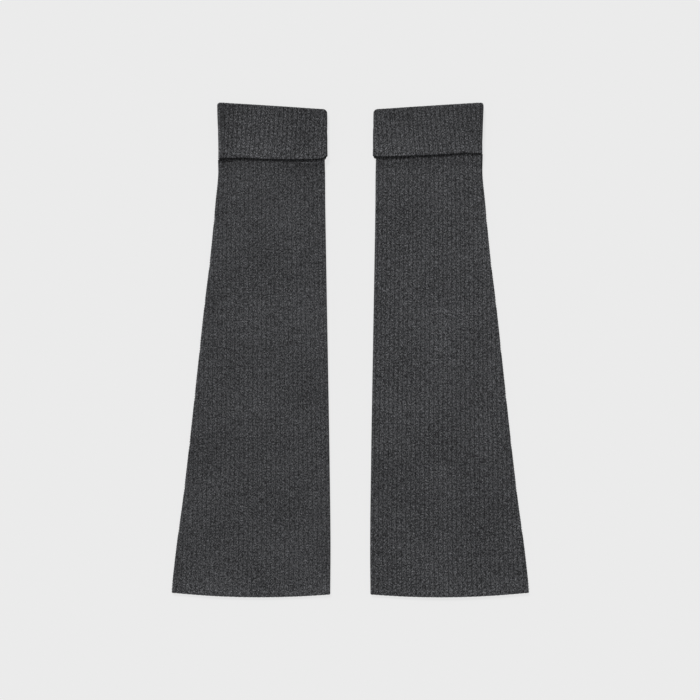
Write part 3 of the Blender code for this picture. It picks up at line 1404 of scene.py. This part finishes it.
@dataclass
class SeamAllowance:
    """The seam's cut edges, folded flat beside it, which the turned-down top shows outside."""

    name: str
    grid: Grid
    layers: Layers
    side: Side
    width: float  # from the seam
    first_row: int
    start: float = 0.0017  # from the seam
    thickness: float = 0.0008
    air: float = 0.00003  # under the strip
    overhang: float = 0.0008  # past the cuff's free edge
    flap_radius: float = 0.0022  # of the lower corner at its cut edge
    near_radius: float = 0.0011  # and of the one at the seam
    edge: float = 0.00045  # radius of its rim
    rise: float = 0.0045  # the way down over which the strip gets its full thickness
    risen: float = 0.12  # the share of that way which lies above the fold
    rows: int = 60
    columns: int = 12
    rim_shares: tuple[float, ...] = (0.15, 0.5)  # of that radius, for the rows on the rim
    pitch: float = 0.0046  # width of a rib
    course: float = 0.00115  # height of one course of stitches

    def lines(self, aside: np.ndarray) -> tuple[np.ndarray, np.ndarray, np.ndarray]:
        """Lines down the cuff's wall.

        Args:
            aside: How far each line is from the outer seam.

        Returns:
            The places of each line's points, their outward directions, and their lengths down it.
        """
        middle, out = [], []
        for wall, normal in zip(self.grid.middle[self.first_row :], self.grid.out[self.first_row :]):
            back, away = wall[::-1], normal[::-1]
            steps = np.linalg.norm(np.diff(back, axis=0), axis=1)
            length = np.concatenate([[0.0], np.cumsum(steps)])
            middle.append([np.interp(aside, length, back[:, i]) for i in range(3)])
            out.append([np.interp(aside, length, away[:, i]) for i in range(3)])
        middle, out = np.array(middle), np.array(out)
        steps = np.linalg.norm(np.diff(middle, axis=0), axis=1)
        return middle, out, np.concatenate([steps[:1] * 0.0, np.cumsum(steps, axis=0)])

    def places(self, aside: np.ndarray, down: np.ndarray, height: np.ndarray) -> np.ndarray:
        """Places over the cuff's outer face.

        Args:
            aside: How far each is from the outer seam.
            down: How far down from the top of the fold it is.
            height: How far above the cuff's outer face it is.

        Returns:
            The places.
        """
        middle, out, length = self.lines(aside)
        found = np.empty((len(aside), 3))
        for i, (d, h) in enumerate(zip(down, height + self.layers.cloth / 2)):
            for j in range(3):
                at = np.interp(d, length[:, i], middle[:, j, i])
                found[i, j] = at + h * np.interp(d, length[:, i], out[:, j, i])
        found[:, 1] += np.clip(down - length[-1], 0.0, None)
        return found

    def full(self, down: np.ndarray) -> np.ndarray:
        """The thickness that the strip has at a distance down it."""
        return self.thickness * ease(self.risen + down / self.rise)

    @property
    def length(self) -> float:
        """How far the strip runs from the top of the fold."""
        return float(self.lines(np.array([self.start]))[2][-1, 0]) + self.overhang

    def build(self) -> bpy.types.Object:
        """Makes the strip as a closed wall.

        Returns:
            The strip.
        """
        length = self.length
        rims = self.edge * np.array(self.rim_shares)
        down = np.concatenate([np.linspace(0.0, length, self.rows), rims, length - rims])
        down = np.tile(np.sort(down), (2, self.columns, 1))
        wall = np.array([1.0, -1.0])[:, None, None]
        share = np.linspace(0.0, 1.0, self.columns)[None, :, None]
        near = self.start + corner(length - down, self.near_radius)
        far = self.width - corner(length - down, self.flap_radius)
        aside = near + (far - near) * share + wall * 0.0
        from_rim = np.minimum(share, 1.0 - share) * (self.width - self.start)
        half = rounded(np.minimum(down, length - down), self.edge) * rounded(from_rim, self.edge)
        height = self.air + self.full(down) / 2 * (1.0 + wall * half)
        found = self.places(aside.ravel(), down.ravel(), height.ravel())
        mesh = bpy.data.meshes.new(self.name)
        faces = two_walls(self.columns, down.shape[-1], self.side is Side.LEFT)
        mesh.from_pydata(laid(found, self.side), [], faces)
        close(mesh, np.stack([aside.ravel() / self.pitch, down.ravel() / self.course], axis=1))
        return linked(mesh)


def thread(name: str, runs: list[np.ndarray], radius: float) -> bpy.types.Object:
    """Sweeps runs of thread and makes them one mesh.

    Args:
        name: The piece's name.
        runs: The places that each run passes through.
        radius: The thread's radius.

    Returns:
        The piece.
    """
    curve = bpy.data.curves.new(name, "CURVE")
    curve.dimensions = "3D"
    curve.bevel_depth = radius
    curve.bevel_resolution = 1
    curve.use_fill_caps = True
    for run in runs:
        spline = curve.splines.new("POLY")
        spline.points.add(len(run) - 1)
        spline.points.foreach_set("co", np.column_stack([run, np.ones(len(run))]).ravel())
    swept = linked(curve)
    bpy.ops.object.select_all(action="DESELECT")
    swept.select_set(True)
    bpy.context.view_layer.objects.active = swept
    bpy.ops.object.convert(target="MESH")
    return bpy.context.object


@dataclass
class OverlockLoops:
    """The looper thread, which zigzags over the strip and round its cut edge."""

    strip: SeamAllowance
    name: str
    spacing: float = 0.0026  # of the loops
    radius: float = 0.00016  # of the thread
    margin: float = 0.001  # of the strip's length, at each end
    needle: float = 0.30  # of the strip's width, from its seam side
    wrap: float = 0.0004  # in from the cut edge, where the thread turns over it
    samples: int = 3  # points along the thread to each place on its path
    shares: tuple[float, ...] = (0.0, 0.26, 0.42, 0.50, 0.58, 0.76)  # of the spacing
    outermost: int = 3  # the place in a loop that lies beyond the cut edge

    def path(self) -> np.ndarray:
        """Lays out the thread, loop by loop.

        Returns:
            The places that it runs through.
        """
        strip = self.strip
        needle = strip.start + self.needle * (strip.width - strip.start)
        turn = strip.width - self.wrap
        middle = (needle + turn) / 2
        aside = (needle, middle, turn, strip.width + self.radius, turn, middle)
        along = np.array(self.shares) * self.spacing
        count = int((strip.length - 2 * self.margin) / self.spacing)
        down = (self.margin + self.spacing * np.arange(count)[:, None] + along).ravel()
        top = strip.full(down)
        top[self.outermost :: len(aside)] /= 2
        return strip.places(np.tile(aside, count), down, strip.air + top + self.radius)

    def build(self) -> bpy.types.Object:
        """Makes the thread as a swept tube.

        Returns:
            The thread.
        """
        path = laid(self.path(), self.strip.side)
        fine = np.linspace(0, len(path) - 1, self.samples * len(path))
        knots = np.arange(len(path))
        path = np.stack([np.interp(fine, knots, path[:, i]) for i in range(3)], axis=1)
        path[1:-1] = (path[:-2] + path[1:-1] * 2 + path[2:]) / 4
        return thread(self.name, [path], self.radius)


@dataclass
class SideSeam:
    """The thread that crosses the outer side seam between the two panels, stitch by stitch."""

    name: str
    grid: Grid
    layers: Layers
    side: Side
    start: float = 0.072  # how far down the first stitch is
    end: float = 0.003  # from the hem
    spacing: float = 0.0026  # of the stitches
    slant: float = 0.0005  # how far up and down a stitch's two ends are
    radius: float = 0.00013  # of the thread
    sink: float = 0.00006  # how deep the thread lies in the cloth
    half_turn: float = math.radians(26.0)  # how far round the side a stitch reaches each way
    knots: int = 5  # points along a stitch

    def build(self) -> bpy.types.Object:
        """Makes the stitches as one mesh of short bowed tubes.

        Returns:
            The stitches.
        """
        seam = np.array([row[-1] for row in self.grid.middle])
        seam = seam[np.concatenate([[True], np.diff(seam[:, 1]) > 0.0])]
        turns = np.linspace(-self.half_turn, self.half_turn, self.knots)
        reach = self.layers.side_bend + self.layers.cloth / 2 - self.sink
        runs = []
        for down in np.arange(self.start, seam[-1, 1] - self.end, self.spacing):
            across, z = (np.interp(down, seam[:, 1], seam[:, i]) for i in (0, 2))
            bow = np.stack(
                [
                    across - self.layers.side_bend + reach * np.cos(turns),
                    down + self.slant * turns / self.half_turn,
                    z + reach * np.sin(turns),
                ],
                axis=1,
            )
            runs.append(laid(bow, self.side))
        return thread(self.name, runs, self.radius)


@dataclass
class LegWarmer:
    """One leg warmer: a tube of two panels, its turned-down top and the seam's cut edges on it."""

    side: Side
    cuff_edge: Curve
    allowance: float  # how far the seam's cut edges reach from it on the cuff
    drawn_in: float  # how much narrower the cuff is at its free edge
    leg_cloth: Cloth
    cuff_cloth: Cloth
    cuff_cut: tuple[float, float]  # flat width and length of each half of the cuff
    cuff_area: float
    panel_cut: tuple[float, float] = (0.158, 0.474)  # and of each panel
    panel_area: float = 0.0625

    def build(self) -> list[bpy.types.Object]:
        """Returns:
            The pieces.
        """
        form = TubeForm(self.side, self.cuff_edge, self.drawn_in)
        pieces: list[bpy.types.Object] = []
        for facing in (Facing.BACK, Facing.FRONT):
            panel = LegPanel(form, facing)
            cuff = CuffHalf(form, facing)
            leg = self.dress(panel.build(), panel, Kind.LEG)
            turned = self.dress(cuff.build(), cuff, Kind.CUFF)
            over = self.seam_edges(cuff) if facing is Facing.FRONT else []
            pieces += [leg, turned, *over]
            if facing is Facing.FRONT:
                pieces.append(self.side_seam(panel))
        return pieces

    def side_seam(self, panel: LegPanel) -> bpy.types.Object:
        """Makes the stitches of the outer side seam.

        Args:
            panel: The front panel, which they lie beside.

        Returns:
            The stitches.
        """
        name = f"{self.side.name.lower()}_side_seam"
        seam = SideSeam(name, panel.grid(), panel.form.layers, self.side).build()
        seam.data.materials.append(OverlockThread(f"{name}_thread").material())
        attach(seam, BODY)
        return seam

    def marl(self, name: str, kind: Kind) -> MarlRibKnit:
        """The finish of a piece, by its name and its kind."""
        cloth = self.leg_cloth if kind is Kind.LEG else self.cuff_cloth
        return MarlRibKnit(f"{name}_marl", cloth)

    def dress(self, piece: bpy.types.Object, wall: RibbedWall, kind: Kind) -> bpy.types.Object:
        """Gives a wall of cloth its finish, hangs it on the body and hides the CAD part that it stands
        for.

        Args:
            piece: The wall's object.
            wall: The wall.
            kind: The kind of piece, which picks its cloth.

        Returns:
            The piece.
        """
        piece.data.materials.append(self.marl(wall.name, kind).material())
        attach(piece, BODY)
        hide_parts(wall.name)
        return piece

    def seam_edges(self, cuff: CuffHalf) -> list[bpy.types.Object]:
        """Makes the seam's cut edges on a cuff, and the thread that binds them.

        Args:
            cuff: The cuff's half that they lie on.

        Returns:
            The strip and its thread.
        """
        name = f"{self.side.name.lower()}_cuff_seam_allowance"
        strip = SeamAllowance(
            name, cuff.grid(), cuff.form.layers, self.side, self.allowance, cuff.fold_top_row
        )
        cloth = strip.build()
        cloth.data.materials.append(self.marl(name, Kind.CUFF).material())
        binding = OverlockLoops(strip, f"{self.side.name.lower()}_cuff_overlock").build()
        binding.data.materials.append(OverlockThread(f"{binding.name}_thread").material())
        for piece in (cloth, binding):
            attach(piece, BODY)
        return [cloth, binding]


@dataclass
class Studio:
    """The pale ground, the soft light and the camera straight above."""

    view_width: float = 0.6813  # of the surface that the camera sees
    view_height: float = 1.70  # of the camera above it
    sensor: float = 36.0  # millimetres
    aim: tuple[float, float] = (-0.00032, -0.0001)  # the place under the camera
    room: float = 0.36  # strength of the light from all round
    key: float = 2.5  # strength of the key light
    key_angle: float = 11.0  # how wide it is, in degrees, which softens its shadows
    key_place: tuple[float, float, float] = (-0.34, 0.80, 0.84)  # the way it comes from
    ground_size: float = 12.0
    ground_place: tuple[float, float, float] = (0.0, 0.0, -0.0001)

    def build(self) -> None:
        """Sets the ground, the light and the camera."""
        self.ground()
        self.light()
        self.camera()

    def ground(self) -> None:
        """Lays the ground under the pair."""
        bpy.ops.mesh.primitive_plane_add(size=self.ground_size, location=self.ground_place)
        ground = bpy.context.object
        ground.name = "ground"
        bpy.ops.object.transform_apply(location=True)
        ground.data.materials.append(PaleSweep().material())

    def light(self) -> None:
        """Hangs one large, soft and distant light and fills the room with even light."""
        world = bpy.context.scene.world or bpy.data.worlds.new("room")
        bpy.context.scene.world = world
        world.use_nodes = True
        background = world.node_tree.nodes["Background"]
        background.inputs["Color"].default_value = (1.0, 1.0, 1.0, 1.0)
        background.inputs["Strength"].default_value = self.room
        data = bpy.data.lights.new("key", "SUN")
        data.energy = self.key
        data.angle = math.radians(self.key_angle)
        lamp = bpy.data.objects.new("key", data)
        lamp.location = self.key_place
        lamp.rotation_euler = (-Vector(self.key_place)).to_track_quat("-Z", "Y").to_euler()
        bpy.context.scene.collection.objects.link(lamp)
        bpy.context.scene.view_settings.view_transform = "Standard"

    def camera(self) -> None:
        """Hangs the camera straight above the pair."""
        data = bpy.data.cameras.new("camera")
        data.sensor_width = self.sensor
        data.lens = self.sensor * self.view_height / self.view_width
        camera = bpy.data.objects.new("camera", data)
        camera.location = (*self.aim, self.view_height)
        bpy.context.scene.collection.objects.link(camera)
        bpy.context.scene.camera = camera


def left_leg_warmer() -> LegWarmer:
    """The leg warmer on the pair's left, with its own free edge and its own cloth.

    Returns:
        The leg warmer, still to be built.
    """
    edge = Curve(
        (
            (0.0220, 0.0519),
            (0.0242, 0.0525),
            (0.0270, 0.0538),
            (0.0367, 0.0550),
            (0.0520, 0.0554),
            (0.0740, 0.0552),
            (0.0920, 0.0545),
            (0.1100, 0.0538),
            (0.1285, 0.0548),
        )
    )
    return LegWarmer(
        side=Side.LEFT,
        cuff_edge=edge,
        allowance=0.0074,
        drawn_in=0.0004,
        # painted shade just below the cuff and painted light at the hem; between them the cloth is
        # darker towards its lower middle
        leg_cloth=Cloth(
            PaintedLightAndTone(
                (
                    (46, 0.90),
                    (60, 0.985),
                    (170, 0.96),
                    (300, 0.915),
                    (350, 0.905),
                    (400, 0.96),
                    (416, 1.07),
                )
            ),
            groove_shade=0.15,
            contrast=0.91,
        ),
        # painted shade at the fold, going over to painted light towards the free edge
        cuff_cloth=Cloth(PaintedLightAndTone(((3, 0.80), (18, 0.93), (44, 1.10))), groove_shade=0.26, contrast=1.03),
        cuff_cut=(0.112, 0.064),
        cuff_area=0.00657,
    )


def right_leg_warmer() -> LegWarmer:
    """The leg warmer on the pair's right, with its own free edge and its own cloth.

    Returns:
        The leg warmer, still to be built.
    """
    edge = Curve(
        (
            (0.0220, 0.0516),
            (0.0260, 0.0524),
            (0.0430, 0.0522),
            (0.0635, 0.0516),
            (0.0780, 0.0511),
            (0.0945, 0.0502),
            (0.1100, 0.0492),
            (0.1285, 0.0494),
        )
    )
    return LegWarmer(
        side=Side.RIGHT,
        cuff_edge=edge,
        allowance=0.0034,
        drawn_in=0.0,
        # painted shade just below the cuff and painted light at the hem; between them the cloth is
        # darker towards its lower part
        leg_cloth=Cloth(
            PaintedLightAndTone(((46, 0.91), (60, 1.03), (170, 1.03), (335, 0.90), (400, 0.95), (416, 1.05))),
            groove_shade=0.23,
            contrast=0.98,
        ),
        # painted shade at the fold, going over to painted light towards the free edge
        cuff_cloth=Cloth(PaintedLightAndTone(((3, 0.84), (44, 1.11))), groove_shade=0.27, contrast=0.95),
        cuff_cut=(0.112, 0.060),
        cuff_area=0.00615,
    )


def main() -> None:
    """Builds the pair and the studio round it."""
    logging.basicConfig(level=logging.INFO, format="%(message)s")
    for leg_warmer in (left_leg_warmer(), right_leg_warmer()):
        for piece in leg_warmer.build():
            log.info("%s: %d faces", piece.name, len(piece.data.polygons))
    Studio().build()


if __name__ == "__main__":
    main()
